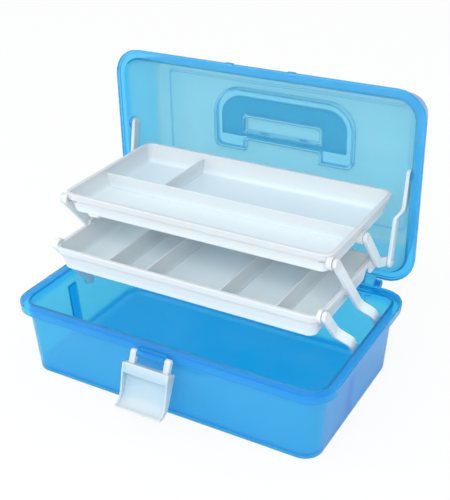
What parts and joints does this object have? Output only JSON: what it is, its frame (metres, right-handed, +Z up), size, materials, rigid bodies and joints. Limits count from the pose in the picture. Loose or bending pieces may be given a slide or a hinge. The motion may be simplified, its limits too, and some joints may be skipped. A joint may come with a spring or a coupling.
{
  "type": "sewing box",
  "caption": "Translucent blue plastic sewing box standing open, with white cantilever trays, folding handle and front latch",
  "frame": {"origin": "middle of the tub's flat underside, on the surface it stands on", "axes": "X along the box's width, -Y to the front where the latch is, Z up"},
  "size_m": [0.33, 0.2855, 0.2722],
  "materials": {
    "tub_blue": "gloss",
    "lid_blue": "gloss",
    "handle_blue": "gloss",
    "milk_white": "satin",
    "tray_white": "satin",
    "latch_white": "satin"
  },
  "bodies": {
    "tub": {"tub": "tub_blue"},
    "lid": {"lid": "lid_blue"},
    "handle": {"handle": "handle_blue"},
    "latch": {"latch": "latch_white"},
    "lower_tray": {"lower_tray": "tray_white"},
    "upper_tray": {"upper_tray": "milk_white"},
    "front_arm_right": {"front_arm_right": "milk_white"},
    "front_arm_left": {"front_arm_left": "milk_white"},
    "long_arm_right": {"long_arm_right": "milk_white"},
    "long_arm_left": {"long_arm_left": "milk_white"},
    "rear_arm_right": {"rear_arm_right": "milk_white"},
    "rear_arm_left": {"rear_arm_left": "milk_white"},
    "lid_link_right": {"lid_link_right": "milk_white"},
    "lid_link_left": {"lid_link_left": "milk_white"}
  },
  "joints": [
    {"name": "lid_hinge", "type": "hinge", "parent": "tub", "child": "lid", "pos_m": [0, 0.101, 0.07515], "axis": [1, 0, 0], "range_deg": [0, 90]},
    {"name": "handle_fold", "type": "hinge", "parent": "lid", "child": "handle", "pos_m": [0, 0.15375, 0.18135], "axis": [-1, 0, 0], "range_deg": [0, 100]},
    {"name": "latch_swing", "type": "hinge", "parent": "tub", "child": "latch", "pos_m": [0, -0.0998, 0.0685], "axis": [-1, 0, 0], "range_deg": [0, 155]},
    {"name": "front_arm_right_base", "type": "hinge", "parent": "tub", "child": "front_arm_right", "pos_m": [0.15, 0.01, 0.052], "axis": [1, 0, 0], "range_deg": [0, 23.9]},
    {"name": "long_arm_right_base", "type": "hinge", "parent": "tub", "child": "long_arm_right", "pos_m": [0.15, 0.062, 0.052], "axis": [1, 0, 0], "range_deg": [0, 23.9]},
    {"name": "front_arm_left_base", "type": "hinge", "parent": "tub", "child": "front_arm_left", "pos_m": [-0.15, 0.01, 0.052], "axis": [1, 0, 0], "range_deg": [0, 23.9]},
    {"name": "long_arm_left_base", "type": "hinge", "parent": "tub", "child": "long_arm_left", "pos_m": [-0.15, 0.062, 0.052], "axis": [1, 0, 0], "range_deg": [0, 23.9]},
    {"name": "lower_tray_pivot", "type": "hinge", "parent": "long_arm_right", "child": "lower_tray", "pos_m": [0.138, 0.00427, 0.12208], "axis": [1, 0, 0], "range_deg": [-23.9, 0]},
    {"name": "upper_tray_pivot", "type": "hinge", "parent": "long_arm_right", "child": "upper_tray", "pos_m": [0.138, -0.02943, 0.16299], "axis": [1, 0, 0], "range_deg": [-23.9, 0]},
    {"name": "rear_arm_right_pivot", "type": "hinge", "parent": "lower_tray", "child": "rear_arm_right", "pos_m": [0.138, 0.0704, 0.1157], "axis": [1, 0, 0], "range_deg": [0, 23.9]},
    {"name": "lid_link_right_pivot", "type": "hinge", "parent": "lid", "child": "lid_link_right", "pos_m": [0.152, 0.1096, 0.1908], "axis": [1, 0, 0], "range_deg": [0, 13.7]},
    {"name": "rear_arm_left_pivot", "type": "hinge", "parent": "lower_tray", "child": "rear_arm_left", "pos_m": [-0.138, 0.0704, 0.1157], "axis": [1, 0, 0], "range_deg": [0, 23.9]},
    {"name": "lid_link_left_pivot", "type": "hinge", "parent": "lid", "child": "lid_link_left", "pos_m": [-0.152, 0.1096, 0.1908], "axis": [1, 0, 0], "range_deg": [0, 13.7]}
  ],
  "couplings": [
    {"joint": "front_arm_right_base", "follows": "lid_hinge", "ratio": 0.2634},
    {"joint": "long_arm_right_base", "follows": "lid_hinge", "ratio": 0.2634},
    {"joint": "front_arm_left_base", "follows": "lid_hinge", "ratio": 0.2634},
    {"joint": "long_arm_left_base", "follows": "lid_hinge", "ratio": 0.2634},
    {"joint": "lower_tray_pivot", "follows": "lid_hinge", "ratio": -0.2634},
    {"joint": "upper_tray_pivot", "follows": "lid_hinge", "ratio": -0.2634},
    {"joint": "rear_arm_right_pivot", "follows": "lid_hinge", "ratio": 0.2634},
    {"joint": "lid_link_right_pivot", "follows": "lid_hinge", "ratio": 0.1511},
    {"joint": "rear_arm_left_pivot", "follows": "lid_hinge", "ratio": 0.2634},
    {"joint": "lid_link_left_pivot", "follows": "lid_hinge", "ratio": 0.1511}
  ]
}
